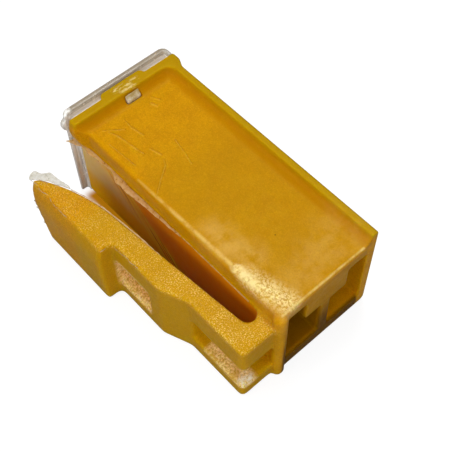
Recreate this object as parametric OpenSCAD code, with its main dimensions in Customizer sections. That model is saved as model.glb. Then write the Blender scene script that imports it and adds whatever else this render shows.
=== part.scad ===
// Female cartridge fuse link with a lock arm
// The fuse lies on its wide face, tray side up, with the terminal mouths at -Y,
// the clear window cap at +Y and the lock arm at -X. Lengths are in millimetres.

/* [Housing] */
// Width of the housing block, without the lock arm
body_w = 14; // [12:0.1:18]
// Length of the housing, from the terminal face to the cap seat
body_l = 33.3; // [32:0.1:40]
// Height of the sunken panel above the underside
panel_h = 12.95; // [12:0.05:15]
// Side wall thickness
wall_t = 1.25; // [1:0.05:1.6]
// Thickness of the wall under the panel
top_wall_t = 1.95; // [1.6:0.05:2.4]
// Thickness of the wall along the underside
bottom_wall_t = 1.95; // [1.2:0.05:2.4]
// Radius of the long outer edges
edge_r = 0.6; // [0.2:0.05:0.9]
// Height of the mould parting line, which is also the top of the lock arm
part_line_h = 10.5; // [9:0.1:11.5]
// Set-back of the side wall above the parting line
part_inset = 0.18; // [0.05:0.01:0.4]
// Bevel along the panel's open end
lip_bevel = 0.3; // [0.1:0.05:0.6]

/* [Tray rim] */
// Height of the rim above the panel
rim_h = 1.25; // [0.8:0.05:1.6]
// Width of the rim's flat top
rim_w = 0.95; // [0.6:0.05:1.4]
// Radius of the fillet from the panel up to the rim
rim_fillet_r = 1.25; // [0.6:0.05:1.6]
// Length of the flange that carries the cap
flange_l = 1.1; // [0.8:0.05:1.6]
// Reach of the flange past the plain side
flange_right = 0.55; // [0.2:0.05:0.9]
// Reach of the flange past the arm side
flange_left = 1; // [0.4:0.05:1.2]
// Radius of the flange's bulging arm side
flange_curve_r = 4; // [3:0.1:6]
// Height of the middle of that bulge
flange_curve_h = 12.7; // [12.2:0.1:13.2]

/* [Latch boss] */
// Width of the boss in the middle of the end rim
boss_w = 6.1; // [5:0.1:8]
// How far the boss stands past the end rim
boss_proud = 0.65; // [0.3:0.05:0.85]
// Height of the boss, down from the rim's top
boss_h = 1; // [0.6:0.05:1.2]
// Radius of the boss's corners
boss_r = 0.5; // [0.2:0.05:0.6]
// Width of the latch window
latch_w = 2.1; // [1.6:0.1:3.5]
// Length of the latch window
latch_l = 0.7; // [0.6:0.05:1]
// Distance from the cap seat to the latch window
latch_set = 1.15; // [1:0.05:1.4]
// Offset of the latch window towards the plain side
latch_side = 0.2; // [-0.5:0.1:0.5]

/* [Terminal mouths] */
// Thickness of the divider between the mouths
divider_w = 1.4; // [1:0.1:2]
// Width of the tall part of a mouth, where the blade goes in
blade_slot_w = 2.7; // [2.4:0.05:3]
// Height of the low part of a mouth, beside the divider
low_mouth_h = 5.95; // [4.5:0.05:6.5]
// Depth of the low part of a mouth
low_mouth_l = 9; // [6:0.5:12]
// Length of the narrow throat in front of a terminal
throat_l = 2.6; // [2:0.1:4]
// Width of the lip that covers the terminal's edge
throat_lip = 0.25; // [0.15:0.05:0.35]
// Where the chamber of the link begins
chamber_y = 16; // [15.5:0.5:18]
// Where the divider ends
divider_l = 24; // [18:0.5:25]
// Radius of the upright bead at the corner of the terminal face
bead_r = 0.8; // [0.6:0.05:0.9]
// How far that bead stands out from the terminal face
bead_proud = 0.5; // [0.2:0.05:0.7]
// Radius of the corners inside a mouth
mouth_r = 0.35; // [0.1:0.05:0.6]

/* [Lock arm] */
// Distance of the arm's root face from the housing
root_out = 4.65; // [4.2:0.05:5.4]
// Set-back of the root from the terminal face
root_set = 0.3; // [0:0.05:0.6]
// Width of the slot at its closed end
slot_w = 1.95; // [1.6:0.05:2.3]
// Distance from the terminal face to the slot's closed end
slot_y = 2.63; // [2.3:0.05:4]
// Width of the slot where the thumb pad's curve begins
slot_w_end = 3.7; // [3:0.05:4]
// How far the catch stands out from the root face
catch_out = 1.35; // [0.8:0.05:1.6]
// Where the catch's ramp begins
ramp_y = 8.6; // [7:0.1:10]
// Length of the catch's ramp
ramp_l = 3.4; // [2:0.1:4.5]
// Where the thumb pad begins
pad_y = 19.5; // [18:0.1:21]
// How far the thumb pad stands out from the catch
pad_out = 2.15; // [1.2:0.05:2.5]
// Where the thumb pad ends
pad_end = 32.1; // [30:0.1:32.1]
// How far the thumb pad's tip leans back from its top to its underside
pad_lean = 1; // [0:0.1:1.5]
// How far the thumb pad's outer face is drafted in at its underside
pad_draft = 0.3; // [0:0.05:0.5]
// Where the thumb pad's inner face begins to curve away
pad_curve_y = 22.3; // [21:0.1:24]
// Radius of the thumb pad's inner face
pad_curve_r = 22; // [20:0.5:24]
// Radius of the thumb pad's tip
pad_tip_r = 3; // [2.4:0.1:3.5]
// Radius of the upright corners of the arm
arm_r = 0.6; // [0.2:0.05:0.9]
// Height where the thumb pad's outer face begins to lean in
crown_h = 7.2; // [6:0.1:8]
// How far the thumb pad's outer face leans in at its top
crown_in = 0.7; // [0.3:0.05:1.1]

/* [Core pockets of the arm] */
// Height of the pockets' floor
core_floor = 2.4; // [1.6:0.1:3]
// Height of the pockets' ceiling
core_top = 6.4; // [5:0.1:7.5]
// Depth of the pocket around the root's corner
root_core_d = 1.5; // [0.8:0.1:1.9]
// Where the root's pocket ends
root_core_end = 8.3; // [6:0.1:8.5]
// Depth of the pocket between catch and thumb pad
arm_core_d = 1.7; // [0.8:0.1:1.9]
// Length of the pocket between catch and thumb pad
arm_core_l = 5.5; // [3:0.1:6]

/* [Mould flash] */
// Thickness of the flash at the parting line
flash_t = 0.15; // [0.1:0.05:0.3]
// Radius of the flash around the thumb pad's tip
flash_r = 4.4; // [4.2:0.1:4.6]
// Distance of that flash's middle from the housing
flash_mid_out = 9.3; // [9.2:0.05:9.5]
// Distance of that flash's middle from the terminal face
flash_mid_y = 29.3; // [29:0.05:29.5]
// Reach of the flash past the thumb pad's tip
flash_w = 0.7; // [0.3:0.05:0.9]
// Reach of the flash along the housing, where it is widest
side_flash = 0.8; // [0.3:0.05:0.9]
// Where the flash along the housing is widest
side_flash_y = 24.6; // [24:0.1:26]
// Reach of the flash spur beside the cap
spur_w = 0.65; // [0.3:0.05:0.9]

/* [Window cap] */
// Thickness of the cap outside the housing
cap_t = 1.6; // [1.5:0.05:2.2]
// Reach of the cap past the arm side
cap_left = 0.85; // [0.4:0.05:1.2]
// Reach of the cap past the plain side
cap_right = 0.35; // [0:0.05:0.5]
// Radius of the cap's upright outer corners
cap_r = 0.95; // [0.3:0.05:1]
// Length of the cap's narrow seat behind its plate
cap_seat_l = 0.65; // [0.5:0.05:0.9]
// Width of the low step along the cap's top
cap_step_l = 0.9; // [0.9:0.05:1.1]
// Depth of the low step along the cap's top
cap_step_h = 1.05; // [1:0.05:1.4]
// Thickness of the walls that close the ends of that step
cap_end_wall = 0.5; // [0.3:0.05:0.7]
// Length of the plug skirt inside the housing
skirt_l = 3.4; // [2.6:0.1:4]
// Wall thickness of the plug skirt
skirt_t = 0.9; // [0.6:0.05:1.1]
// Clearance between the cap and the housing
cap_gap = 0.08; // [0.03:0.01:0.15]
// Rise of the barb in the latch window above the panel, on its steep side
barb_high = 0.9; // [0.4:0.05:1.1]
// Rise of that barb on its low side
barb_low = 0.15; // [0:0.05:0.3]
// Radius of the small round tab on the arm side
tab_r = 1; // [0.6:0.05:1.1]
// How far the small round tab stands out
tab_out = 0.45; // [0.3:0.05:0.6]
// Thickness of the small round tab
tab_t = 0.65; // [0.4:0.05:0.8]
// Height of the middle of the small round tab
tab_h = 12.6; // [11:0.1:13]

/* [Fuse element] */
// Thickness of the stamped strip
strip_t = 0.6; // [0.4:0.05:0.7]
// Length of a box terminal
box_l = 11.5; // [9:0.5:12.5]
// Width of a box terminal's curled lips
lip_w = 2.4; // [1.5:0.1:3]
// Clearance around a terminal in its cavity
seat_gap = 0.1; // [0.05:0.01:0.15]
// Rise of the contact spring above the back of a terminal
spring_rise = 0.7; // [0.4:0.05:0.9]
// Length of the contact spring
spring_l = 8; // [6:0.5:8]
// Width of the contact spring
spring_w = 3; // [2:0.1:3.5]
// How far the contact spring runs into the back of a terminal
spring_foot = 0.2; // [0.1:0.05:0.4]
// Width of the strip between a terminal and the link
neck_w = 4; // [3:0.1:5]
// Width of the link at its narrowest
link_w = 1.4; // [0.8:0.1:1.8]
// Distance of the link from the cap seat
link_set = 5.2; // [4.8:0.1:6]
// Inner radius of the strip's bends
bend_r = 0.8; // [0.4:0.1:1.2]
// Length of the narrow part of the link
link_l = 5.6; // [4.5:0.1:7]
// Diameter of the tin pellet
pellet_d = 2.2; // [1.9:0.1:2.6]
// Length of the tin pellet
pellet_l = 2; // [1.2:0.1:3]

/* [Hidden] */
$fn = 64;
over = 1;
top_h = panel_h + rim_h;
ceiling_h = panel_h - top_wall_t;
mid_x = body_w / 2;
foot_x = body_w - rim_w - rim_fillet_r;
foot_y = body_l - flange_l - rim_fillet_r;
cavity_x = wall_t - throat_lip;
blade_x = wall_t + blade_slot_w;
mouth_h = ceiling_h - bottom_wall_t;
latch_x = mid_x + latch_side - latch_w / 2;
latch_y = body_l - latch_set - latch_l;
boss_y = body_l + boss_proud;
catch_x = root_out + catch_out;
pad_x = catch_x + pad_out;
slot_r = slot_w / 2;
tip_x = pad_x + pad_tip_r / 12;
slot_lean = atan((slot_w_end - slot_w) / (pad_curve_y - slot_y - slot_r));
cap_end = body_l + cap_t;
box_x = cavity_x + seat_gap;
box_y = throat_l + seat_gap;
box_z = bottom_wall_t + seat_gap;
box_w = blade_x - cavity_x - 2 * seat_gap;
box_h = mouth_h - 2 * seat_gap;
mid_z = bottom_wall_t + mouth_h / 2;
link_y = body_l - link_set;
spring_r = (pow(spring_l / 2, 2) + pow(spring_rise, 2)) / (2 * spring_rise);
crown_r = (pow(part_line_h - crown_h, 2) + pow(crown_in, 2)) / (2 * crown_in);
shift_x = (pad_x - body_w - flange_right) / 2;
shift_y = (bead_proud - cap_end) / 2;

// Moves the whole fuse so that its origin is the middle of its underside
module placed() {
    translate([shift_x, shift_y, 0]) children();
}

// Extrudes a profile drawn in X and Z from y0 to y1
module along_y(y0, y1) {
    translate([0, y1, 0]) rotate([90, 0, 0]) linear_extrude(y1 - y0) children();
}

// Extrudes a profile drawn in Y and Z from x0 to x1
module along_x(x0, x1) {
    translate([x0, 0, 0]) rotate([90, 0, 90]) linear_extrude(x1 - x0) children();
}

// Box between two opposite corners
module span(low, high) {
    translate(low) cube(high - low);
}

// Rectangle between two corners with one radius
module round_rect(low, high, r) {
    translate(low + [r, 0]) square([high.x - low.x - 2 * r, high.y - low.y]);
    translate(low + [0, r]) square([high.x - low.x, high.y - low.y - 2 * r]);
    for (x = [low.x + r, high.x - r], y = [low.y + r, high.y - r]) translate([x, y]) circle(r);
}

// The child and its mirror image across the middle of the housing
module both_sides() {
    children();
    translate([body_w, 0, 0]) mirror([1, 0, 0]) children();
}

// Housing block with its stepped side and the flange at the cap end
module block() {
    along_y(0, body_l) {
        round_rect([0, 0], [body_w, part_line_h], edge_r);
        round_rect([part_inset, part_line_h / 2], [foot_x, panel_h], edge_r);
        round_rect([foot_x - edge_r, part_line_h / 2], [body_w, top_h], edge_r / 2);
        translate([mid_x, edge_r]) square([mid_x, part_line_h]);
        translate([0, part_line_h / 2]) square([mid_x, part_line_h / 2]);
    }
    along_y(foot_y, body_l) round_rect([part_inset, part_line_h], [body_w, top_h], edge_r / 2);
    // flange that runs out to the side walls
    intersection() {
        along_y(0, body_l) {
            round_rect([mid_x, 0], [body_w + flange_right, top_h], edge_r / 2);
            intersection() {
                translate([flange_curve_r - flange_left, flange_curve_h]) circle(flange_curve_r);
                translate([-flange_left, 0]) square([mid_x + 2 * flange_left, top_h]);
            }
        }
        linear_extrude(top_h) polygon([
            [part_inset, body_l - 2 * flange_l],
            [body_w, body_l - 2 * flange_l],
            [body_w + flange_right, body_l - flange_l],
            [body_w + flange_right, body_l],
            [-flange_left, body_l],
            [-flange_left, body_l - flange_l]
        ]);
    }
}

// Space above the sunken panel, with the fillet along its rim
module tray_space() {
    reach_x = foot_x + rim_fillet_r;
    reach_y = foot_y + rim_fillet_r;
    low = [-flange_left - over, -over, panel_h];
    span(low, [foot_x, foot_y, top_h + over]);
    span([low.x, low.y, panel_h + rim_fillet_r], [reach_x, foot_y, top_h + over + rim_fillet_r]);
    span([low.x, low.y, panel_h + rim_fillet_r], [foot_x, reach_y, top_h + over + rim_fillet_r]);
    along_y(low.y, foot_y) translate([foot_x, panel_h + rim_fillet_r]) circle(rim_fillet_r);
    along_x(low.x, foot_x) translate([foot_y, panel_h + rim_fillet_r]) circle(rim_fillet_r);
    translate([foot_x, foot_y, panel_h + rim_fillet_r]) sphere(rim_fillet_r);
}

// Boss that guards the latch window
module boss() {
    translate([0, 0, top_h - boss_h]) linear_extrude(boss_h) {
        round_rect([mid_x - boss_w / 2, latch_y], [mid_x + boss_w / 2, boss_y], boss_r);
    }
}

// Space of one terminal: the throat, the cavity behind it and the low part beside the divider
module mouth_space() {
    along_y(-over - bead_proud, chamber_y + over) {
        round_rect([wall_t, bottom_wall_t], [blade_x, ceiling_h], mouth_r);
    }
    along_y(-over - bead_proud, low_mouth_l) {
        round_rect([wall_t, bottom_wall_t], [mid_x - divider_w / 2, bottom_wall_t + low_mouth_h], mouth_r);
    }
    span([cavity_x, throat_l, bottom_wall_t], [blade_x, chamber_y + over, ceiling_h]);
}

// Space of the link, open to the cap
module chamber_space() {
    difference() {
        span([cavity_x, chamber_y, bottom_wall_t], [body_w - cavity_x, body_l + over, ceiling_h]);
        span([mid_x - divider_w / 2, 0, 0], [mid_x + divider_w / 2, divider_l, top_h]);
    }
}

// Outline of the arm seen from above, from its root to the thumb pad
module arm_outline() {
    start_y = slot_y + slot_r;
    difference() {
        union() {
            polygon([
                [-root_out, ramp_y],
                [-root_out, root_set + arm_r],
                [-root_out + arm_r, root_set],
                [wall_t / 2, root_set],
                [wall_t / 2, start_y],
                [-slot_w, start_y],
                [-slot_w_end, pad_curve_y],
                [-catch_x, pad_curve_y],
                [-catch_x, ramp_y + ramp_l]
            ]);
            translate([-root_out + arm_r, root_set + arm_r]) circle(arm_r);
            pad_outline();
        }
        translate([-slot_r, start_y]) circle(slot_r);
    }
    // fillet in the corner between catch and pad
    difference() {
        translate([-catch_x - arm_r, pad_y - arm_r]) square([arm_r, arm_r + over]);
        translate([-catch_x - arm_r, pad_y - arm_r]) circle(arm_r);
    }
}

// Outline of the thumb pad, whose inner face curves away to the tip
module pad_outline() {
    intersection() {
        round_rect([-pad_x, pad_y], [-slot_w_end + pad_out, pad_end], arm_r);
        translate([-slot_w_end, pad_curve_y]) rotate(slot_lean) {
            translate([-pad_curve_r, 0]) circle(pad_curve_r, $fn = 160);
        }
        union() {
            translate([-pad_x, pad_y]) square([pad_x, pad_end - pad_tip_r - pad_y]);
            translate([-tip_x, pad_end - pad_tip_r]) circle(pad_tip_r);
        }
    }
}

// Profile of the arm across its length, with the thumb pad's crown
module arm_profile() {
    polygon([[-pad_x + pad_draft, 0], [wall_t, 0], [wall_t, crown_h], [-pad_x, crown_h]]);
    intersection() {
        translate([-pad_x, 0]) square([pad_x + wall_t, part_line_h]);
        translate([-pad_x + crown_r, crown_h]) circle(crown_r, $fn = 160);
    }
}

// Pockets that keep the arm's walls even
module core_pockets() {
    corner = [-root_out - over, root_set - over, core_floor];
    span(corner, [-root_out + root_core_d, root_core_end, core_top]);
    span(corner, [part_inset, root_set + root_core_d, core_top]);
    span([-catch_x - over, pad_y - arm_core_l, core_floor], [-catch_x + arm_core_d, pad_y, core_top]);
}

// Lock arm, moulded on the side of the housing
module arm() {
    difference() {
        intersection() {
            linear_extrude(part_line_h) arm_outline();
            along_y(root_set - over, pad_end + over) arm_profile();
            along_x(-pad_x - over, wall_t) polygon([
                [root_set, 0],
                [pad_end - pad_lean, 0],
                [pad_end, part_line_h],
                [root_set, part_line_h]
            ]);
        }
        core_pockets();
    }
}

// Thin flash left at the parting line
module flash() {
    translate([0, 0, part_line_h - flash_t]) linear_extrude(flash_t) {
        intersection() {
            translate([-flash_mid_out, flash_mid_y]) circle(flash_r);
            round_rect([-pad_x + arm_r, pad_y], [0, pad_end + flash_w], arm_r);
        }
        polygon([
            [part_inset, ramp_y + ramp_l],
            [-side_flash / 4, pad_y - slot_w_end],
            [-side_flash / 2, pad_y],
            [-side_flash, side_flash_y],
            [-side_flash, side_flash_y + side_flash],
            [-side_flash / 3, side_flash_y + 3 * side_flash],
            [-spur_w, body_l - flange_l],
            [-cap_left - spur_w, body_l + cap_seat_l],
            [-cap_left - cap_gap, body_l + cap_seat_l / 2],
            [0, body_l],
            [part_inset, body_l - flange_l]
        ]);
    }
}

// Upright bead at the corner of the terminal face
module bead() {
    bead_h = panel_h - lip_bevel - bead_r;
    translate([wall_t - bead_r, bead_r - bead_proud, 0]) {
        cylinder(h = bead_h, r = bead_r);
        translate([0, 0, bead_h]) sphere(bead_r);
    }
}

module housing() {
    color("#d79b00") placed() difference() {
        union() {
            block();
            boss();
            arm();
            flash();
            bead();
        }
        tray_space();
        both_sides() mouth_space();
        chamber_space();
        translate([latch_x, latch_y, mid_z]) cube([latch_w, latch_l, top_h]);
        // bevel along the panel's open end
        along_x(-over, foot_x) polygon([
            [-over, panel_h - lip_bevel - over],
            [0, panel_h - lip_bevel],
            [lip_bevel, panel_h],
            [lip_bevel, panel_h + over],
            [-over, panel_h + over]
        ]);
    }
}

// Cap outside the housing, with the low step under the boss
module cap_plate() {
    plate_y = body_l + cap_seat_l;
    difference() {
        linear_extrude(top_h) {
            intersection() {
                round_rect([-cap_left, plate_y - 2 * cap_r], [body_w + cap_right, cap_end], cap_r);
                translate([-cap_left, plate_y]) square([body_w + cap_left + cap_right, cap_end - plate_y]);
            }
            translate([0, body_l]) square([body_w + cap_right, cap_seat_l]);
        }
        span(
            [-cap_left + cap_end_wall, body_l - over, top_h - cap_step_h],
            [body_w + cap_right - cap_end_wall, body_l + cap_step_l, top_h + over]
        );
    }
}

// Hollow plug that centres the cap in the housing
module cap_skirt() {
    low = [cavity_x + cap_gap, bottom_wall_t + cap_gap];
    high = [body_w - cavity_x - cap_gap, ceiling_h - cap_gap];
    along_y(body_l - skirt_l, body_l) difference() {
        round_rect(low, high, skirt_t / 2);
        round_rect(low + [skirt_t, skirt_t], high - [skirt_t, skirt_t], skirt_t / 2);
    }
}

// Barb that fills the latch window
module cap_barb() {
    along_x(latch_x + cap_gap, latch_x + latch_w - cap_gap) polygon([
        [latch_y + cap_gap, ceiling_h - cap_gap - skirt_t],
        [latch_y + latch_l - cap_gap, ceiling_h - cap_gap - skirt_t],
        [latch_y + latch_l - cap_gap, panel_h + barb_high],
        [latch_y + cap_gap, panel_h + barb_low]
    ]);
}

module window_cap() {
    color("#d8d8d0", 0.5) placed() {
        cap_plate();
        cap_skirt();
        cap_barb();
        // small round tab on the arm side
        intersection() {
            along_y(body_l + cap_seat_l, body_l + cap_seat_l + tab_t) {
                translate([tab_r - cap_left - tab_out, tab_h]) circle(tab_r);
            }
            span([-cap_left - tab_r, 0, 0], [0, cap_end, top_h - cap_step_h / 2]);
        }
    }
}

// Box terminal with two curled lips and a bowed contact spring
module terminal() {
    difference() {
        along_y(box_y, box_y + box_l) difference() {
            round_rect([box_x, box_z], [box_x + box_w, box_z + box_h], strip_t);
            round_rect(
                [box_x + strip_t, box_z + strip_t],
                [box_x + box_w - strip_t, box_z + box_h - strip_t],
                strip_t / 3
            );
            translate([box_x + box_w / 2, box_z + lip_w]) square([box_w, box_h - 2 * lip_w]);
        }
        span(
            [box_x - over, box_y + (box_l - spring_l) / 2, mid_z - spring_w / 2],
            [box_x + box_w / 2, box_y + (box_l + spring_l) / 2, mid_z + spring_w / 2]
        );
    }
    translate([0, 0, mid_z - spring_w / 2]) linear_extrude(spring_w) intersection() {
        translate([box_x + strip_t + spring_rise - spring_r, box_y + box_l / 2]) difference() {
            circle(spring_r, $fn = 160);
            circle(spring_r - strip_t, $fn = 160);
        }
        translate([box_x, box_y + (box_l - spring_l) / 2 - spring_foot]) {
            square([box_w, spring_l + 2 * spring_foot]);
        }
    }
}

// Strip from the terminal to the middle of the link, seen from above
module strip_outline() {
    corner = [box_x + bend_r + strip_t, link_y - bend_r];
    translate([box_x, box_y + box_l - strip_t]) square([strip_t, corner.y - box_y - box_l + strip_t]);
    translate([corner.x, link_y]) square([mid_x - corner.x, strip_t]);
    intersection() {
        translate(corner) difference() {
            circle(bend_r + strip_t);
            circle(bend_r);
        }
        translate([corner.x - bend_r - strip_t, corner.y]) square(bend_r + strip_t);
    }
}

module fuse_element() {
    color("#b87333") placed() {
        both_sides() terminal();
        difference() {
            translate([0, 0, mid_z - neck_w / 2]) linear_extrude(neck_w) both_sides() strip_outline();
            // the link narrows between its two round-ended notches
            notch_r = (neck_w - link_w) / 2;
            for (side = [-1, 1]) {
                translate([mid_x, link_y + strip_t + over, mid_z + side * neck_w / 2]) {
                    rotate([90, 0, 0]) linear_extrude(strip_t + 2 * over) {
                        for (end = [-1, 1]) translate([end * (link_l / 2 - notch_r), 0]) circle(notch_r);
                        square([link_l - 2 * notch_r, 2 * notch_r], center = true);
                    }
                }
            }
        }
    }
}

module tin_pellet() {
    color("silver") placed() translate([mid_x, link_y + strip_t / 2, mid_z]) difference() {
        rotate([0, 90, 0]) cylinder(h = pellet_l, d = pellet_d, center = true);
        cube([2 * pellet_l, strip_t, link_w], center = true);
    }
}

housing();
window_cap();
fuse_element();
tin_pellet();
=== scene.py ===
import math

import bmesh
import bpy
import numpy as np
from mathutils import Matrix, Vector


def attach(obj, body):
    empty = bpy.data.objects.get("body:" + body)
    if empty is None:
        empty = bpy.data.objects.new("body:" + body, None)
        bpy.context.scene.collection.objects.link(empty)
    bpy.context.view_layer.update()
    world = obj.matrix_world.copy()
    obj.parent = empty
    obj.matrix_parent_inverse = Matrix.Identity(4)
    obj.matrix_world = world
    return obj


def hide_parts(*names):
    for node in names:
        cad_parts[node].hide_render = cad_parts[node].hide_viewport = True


bl_info = {
    "name": "Cartridge fuse link",
    "version": (1, 0, 0),
    "blender": (4, 5, 0),
    "location": "View3D > Sidebar > Fuse Link",
    "description": "Moulded housing, clear window cap, stamped fuse element and a small studio",
    "category": "Object",
}

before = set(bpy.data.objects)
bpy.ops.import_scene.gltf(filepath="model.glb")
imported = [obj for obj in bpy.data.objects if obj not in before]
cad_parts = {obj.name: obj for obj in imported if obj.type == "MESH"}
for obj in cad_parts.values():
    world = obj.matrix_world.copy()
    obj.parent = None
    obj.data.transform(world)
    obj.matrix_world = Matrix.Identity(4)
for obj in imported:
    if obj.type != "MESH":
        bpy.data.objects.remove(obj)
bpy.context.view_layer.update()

MM = 0.001
# Corner of the housing block in the frame, in millimetres
ORIGIN = np.array([-3.2, -17.2, 0.0])
# Levels of the tray's panel and of the parting line, and the flash's thickness, in millimetres
PANEL_H = 12.95
PART_LINE_H = 10.5
FLASH_T = 0.15
# Slot side of the arm at the parting line: its start, the start of the pad's curve, its radius
ARM_START = (-1.95, 3.605)
PAD_START = (-3.7, 22.3)
PAD_R = 22.0
# Voxel sizes in millimetres and most triangles of the remade pieces
FLASH_VOXEL = 0.05
CAP_VOXEL = 0.09
HOUSING_FACES = 190000
FLASH_FACES = 40000
CAP_FACES = 90000
FULL_TURN = 6.28
# Handling scratches on the panel: start, end and width, from the housing's corner in millimetres
PANEL_SCRATCHES = [
    ((4.4, 30.0), (4.3, 28.6), 0.16),
    ((4.3, 28.6), (4.6, 26.9), 0.24),
    ((2.0, 29.8), (2.4, 28.7), 0.2),
    ((2.4, 28.7), (2.8, 25.9), 0.24),
    ((2.8, 25.9), (3.0, 24.8), 0.16),
    ((4.0, 24.8), (4.3, 23.4), 0.24),
    ((6.8, 23.9), (6.5, 22.3), 0.14),
    ((6.5, 22.3), (6.0, 20.2), 0.2),
    ((4.1, 22.6), (3.7, 21.9), 0.14),
    ((3.7, 21.9), (1.9, 20.6), 0.16),
    ((1.9, 20.6), (0.6, 19.6), 0.14),
    ((1.6, 30.4), (3.6, 28.9), 0.14),
    ((8.2, 29.8), (8.5, 29.1), 0.28),
    ((8.8, 30.5), (9.3, 29.6), 0.2),
    ((1.0, 28.3), (1.3, 24.2), 0.12),
]
# Dark specks: place and radius
DARK_SPECKS = [((6.4, 7.4, PANEL_H), 0.13), ((-7.9, 9.3, 8.0), 0.12)]
# Torn places in the core pockets, which also carry painted glints: opposite corners of their boxes
TORN_GLINTING_PLACES = [
    ((-6.2, 13.9, 1.9), (-4.0, 20.6, 7.2)),
    ((-4.9, 0.1, 1.9), (-3.0, 6.6, 4.6)),
    ((-4.9, 0.1, 1.9), (-2.4, 1.9, 3.4)),
]


def at(x, y, z):
    """Point measured from the housing's corner in millimetres, as metres in the frame."""
    return Vector((np.array([x, y, z]) + ORIGIN) * MM)


def x_at(x):
    return at(x, 0, 0).x


def y_at(y):
    return at(0, y, 0).y


# Shader trees


class Shader:
    """Builds one material's node tree."""

    def __init__(self, name):
        self.material = bpy.data.materials.new(name)
        self.material.use_nodes = True
        self.tree = self.material.node_tree
        self.principled = self.tree.nodes["Principled BSDF"]
        self.object_coords = self.add("ShaderNodeTexCoord").outputs["Object"]

    def add(self, kind, **settings):
        node = self.tree.nodes.new(kind)
        for key, value in settings.items():
            setattr(node, key, value)
        return node

    def feed(self, socket, value):
        """Links a socket to an output, or sets its value."""
        if isinstance(value, bpy.types.NodeSocket):
            self.tree.links.new(value, socket)
        else:
            socket.default_value = value

    def math(self, operation, a, b=0.0, clamp=False):
        node = self.add("ShaderNodeMath", operation=operation, use_clamp=clamp)
        self.feed(node.inputs[0], a)
        self.feed(node.inputs[1], b)
        return node.outputs[0]

    def times(self, a, b):
        return self.math("MULTIPLY", a, b)

    def most(self, *values):
        """The highest of some values."""
        result = values[0]
        for value in values[1:]:
            result = self.math("MAXIMUM", result, value)
        return result

    def noise(self, size_mm, detail=2.0, roughness=0.5, stretch=None, turn=(0.0, 0.0, 0.0)):
        """Noise whose features are about size_mm across."""
        source = self.object_coords
        if stretch:
            turned = self.add("ShaderNodeVectorRotate", rotation_type="EULER_XYZ")
            self.feed(turned.inputs["Vector"], source)
            turned.inputs["Rotation"].default_value = turn
            source = self.vector("MULTIPLY", turned.outputs[0], stretch)
        node = self.add("ShaderNodeTexNoise")
        self.feed(node.inputs["Vector"], source)
        node.inputs["Scale"].default_value = 1.0 / (size_mm * MM)
        node.inputs["Detail"].default_value = detail
        node.inputs["Roughness"].default_value = roughness
        return node.outputs["Fac"]

    def ramp(self, value, low, high, to_low=0.0, to_high=1.0):
        """Moves value from low..high to to_low..to_high, with soft ends."""
        node = self.add("ShaderNodeMapRange", interpolation_type="SMOOTHSTEP")
        self.feed(node.inputs["Value"], value)
        node.inputs["From Min"].default_value = low
        node.inputs["From Max"].default_value = high
        self.feed(node.inputs["To Min"], to_low)
        self.feed(node.inputs["To Max"], to_high)
        return node.outputs["Result"]

    def mix(self, factor, a, b):
        node = self.add("ShaderNodeMix", data_type="RGBA")
        self.feed(node.inputs["Factor"], factor)
        self.feed(node.inputs["A"], a)
        self.feed(node.inputs["B"], b)
        return node.outputs["Result"]

    def paint(self, base, mask, colour, share=1.0):
        """Lays a share of a colour over the base where the mask is 1."""
        if share != 1.0:
            mask = self.times(mask, share)
        return self.mix(mask, base, (*colour, 1.0))

    def axes(self):
        node = self.add("ShaderNodeSeparateXYZ")
        self.feed(node.inputs[0], self.object_coords)
        return node.outputs

    def inside(self, low, high, edge_mm=0.3):
        """1 inside a box given in frame metres, fading to 0 over edge_mm."""
        result = 1.0
        for axis, a, b in zip(self.axes(), low, high):
            rise = self.ramp(axis, a - edge_mm * MM, a + edge_mm * MM)
            fall = self.ramp(axis, b - edge_mm * MM, b + edge_mm * MM, 1.0, 0.0)
            result = self.times(result, self.times(rise, fall))
        return result

    def near_point(self, point, width_mm):
        """1 at a frame point, fading to 0 at width_mm from it."""
        gap = self.vector("SUBTRACT", self.object_coords, point)
        return self.ramp(self.vector("LENGTH", gap), 0.0, width_mm * MM, 1.0, 0.0)

    def near_segment(self, start, end, width_mm):
        """1 on the line from start to end, fading to 0 at width_mm from it."""
        along = end - start
        offset = self.vector("SUBTRACT", self.object_coords, start)
        dot = self.vector("DOT_PRODUCT", offset, along)
        share = self.math("DIVIDE", dot, along.length_squared, True)
        nearest = self.add("ShaderNodeVectorMath", operation="SCALE")
        nearest.inputs[0].default_value = along
        self.feed(nearest.inputs["Scale"], share)
        gap = self.vector("SUBTRACT", offset, nearest.outputs[0])
        return self.ramp(self.vector("LENGTH", gap), 0.0, width_mm * MM, 1.0, 0.0)

    def panel_line(self, start, end, width_mm):
        """The same on the tray's panel, between two places from the housing's corner."""
        return self.near_segment(at(*start, PANEL_H), at(*end, PANEL_H), width_mm)

    def vector(self, operation, a, b=None):
        node = self.add("ShaderNodeVectorMath", operation=operation)
        self.feed(node.inputs[0], a)
        if b is not None:
            self.feed(node.inputs[1], b)
        return node.outputs["Value" if operation in ("DOT_PRODUCT", "LENGTH") else "Vector"]

    def bump(self, height, depth_mm, before=None):
        node = self.add("ShaderNodeBump")
        self.feed(node.inputs["Height"], height)
        node.inputs["Strength"].default_value = 1.0
        node.inputs["Distance"].default_value = depth_mm * MM
        if before is not None:
            self.feed(node.inputs["Normal"], before)
        return node.outputs["Normal"]

    def finish(self, **sockets):
        for name, value in sockets.items():
            self.feed(self.principled.inputs[name.replace("_", " ")], value)
        return self.material


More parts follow.
